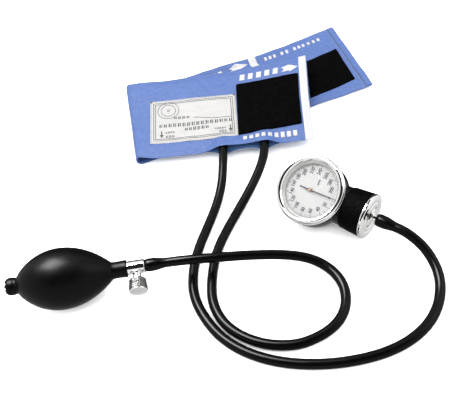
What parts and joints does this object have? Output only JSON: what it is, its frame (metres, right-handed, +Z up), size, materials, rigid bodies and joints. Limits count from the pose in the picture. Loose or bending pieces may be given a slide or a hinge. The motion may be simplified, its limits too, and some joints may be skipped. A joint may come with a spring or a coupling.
{
  "type": "aneroid sphygmomanometer",
  "caption": "Hand-held aneroid blood pressure gauge with dial, folded fabric arm cuff with bladder, rubber hoses, squeeze bulb and release valve",
  "frame": {"origin": "middle of the set's footprint on the table it lies on, hoses left out", "axes": "+Z up from the table; +X along the folded cuff, roughly; the dial gauge and bulb lie on the -Y side, the dial faces up and towards -Y"},
  "size_m": [0.3567, 0.4099, 0.0512],
  "materials": {
    "blue_nylon": "light blue woven nylon, satin, fine crinkle",
    "blue_lining": "light blue woven nylon, matt",
    "bladder_rubber": "smooth moulded rubber",
    "white_label": "white woven label, slightly wrinkled",
    "black_loop": "black looped pile",
    "black_hook": "black hooked tape",
    "white_print": "white print on nylon",
    "black_hose": "smooth black rubber, satin",
    "black_rubber": "smooth black rubber, satin",
    "chrome": "bright plated",
    "steel": "bright steel",
    "seal_rubber": "black rubber",
    "black_paint": "glossy black paint",
    "grained_cover": "black, grained like leather",
    "clear_lens": "clear, polished",
    "white_dial": "white, matt",
    "black_pointer": "black, satin",
    "copper": "polished copper colour",
    "brass": "bright brass",
    "spring_bronze": "spring bronze"
  },
  "bodies": {
    "root": {"cuff_cover": "blue_nylon", "cuff_lining": "blue_lining", "cuff_bladder": "bladder_rubber", "name_label": "white_label", "loop_pad": "black_loop", "index_bar": "white_print", "cuff_fold": "blue_nylon", "gauge_hose": "black_hose", "bulb_hose": "black_hose", "squeeze_bulb": "black_rubber", "inlet_valve_body": "chrome", "inlet_cage": "chrome", "valve_body": "chrome", "outlet_cage": "chrome", "valve_gland": "chrome", "gland_seal": "seal_rubber", "gauge_case": "black_paint", "barrel_sleeve": "grained_cover", "bezel": "chrome", "lens": "clear_lens", "chapter_ring": "white_dial", "dial": "white_dial", "barrel_cap": "chrome", "hose_nipple": "chrome", "pressure_capsule": "spring_bronze", "front_plate": "brass", "rear_plate": "brass", "plate_posts": "steel", "plate_feet": "steel", "plate_screws": "steel", "hairspring": "spring_bronze", "hairspring_stud": "steel"},
    "tail": {"cuff_tail": "blue_nylon", "hook_pad": "black_hook", "range_bar": "white_print"},
    "inlet_check": {"inlet_ball": "steel"},
    "outlet_check": {"outlet_ball": "steel"},
    "needle": {"valve_needle": "steel"},
    "knob": {"release_knob": "chrome"},
    "pointer_shaft": {"pinion_arbor": "steel", "pointer": "black_pointer", "pointer_hub": "copper"},
    "rocker": {"sector_gear": "brass", "rocker_shaft": "steel"},
    "rod": {"push_rod": "steel"}
  },
  "joints": [
    {"name": "tail_unfold", "type": "hinge", "parent": "root", "child": "tail", "pos_m": [-0.06768, 0.05681, 0.0055], "axis": [-0.0262, 0.9997, 0], "range_deg": [0, 180], "deforming": ["cuff_fold"]},
    {"name": "needle_lift", "type": "slide", "parent": "root", "child": "needle", "axis": [-0.0349, -0.9842, -0.1734], "range_m": [0, 0.000714]},
    {"name": "knob_turn", "type": "hinge", "parent": "needle", "child": "knob", "pos_m": [-0.0715, -0.13588, 0.02183], "axis": [-0.0349, -0.9842, -0.1734], "range_deg": [0, 360]},
    {"name": "pointer_turn", "type": "hinge", "parent": "root", "child": "pointer_shaft", "pos_m": [0.0777, -0.1058, 0.03695], "axis": [0.3713, 0.3987, -0.8385], "range_deg": [0, 338], "deforming": ["hairspring"]},
    {"name": "rocker_turn", "type": "hinge", "parent": "root", "child": "rocker", "pos_m": [0.08604, -0.11693, 0.03535], "axis": [-0.3713, -0.3987, 0.8385], "range_deg": [0, 56.5]},
    {"name": "rod_push", "type": "slide", "parent": "root", "child": "rod", "axis": [-0.7131, 0.7008, 0.0175], "range_m": [0, 0.00236], "deforming": ["pressure_capsule"]},
    {"name": "inlet_ball_lift", "type": "slide", "parent": "root", "child": "inlet_check", "axis": [0.9983, -0.0261, -0.0523], "range_m": [0, 0.001]},
    {"name": "outlet_ball_lift", "type": "slide", "parent": "root", "child": "outlet_check", "axis": [0.9983, -0.0261, -0.0523], "range_m": [0, 0.001]}
  ],
  "couplings": [
    {"joint": "needle_lift", "follows": "knob_turn", "m_per_rad": 0.00011141},
    {"joint": "rocker_turn", "follows": "rod_push", "rad_per_m": 416.53},
    {"joint": "pointer_turn", "follows": "rod_push", "rad_per_m": 2499.2}
  ]
}
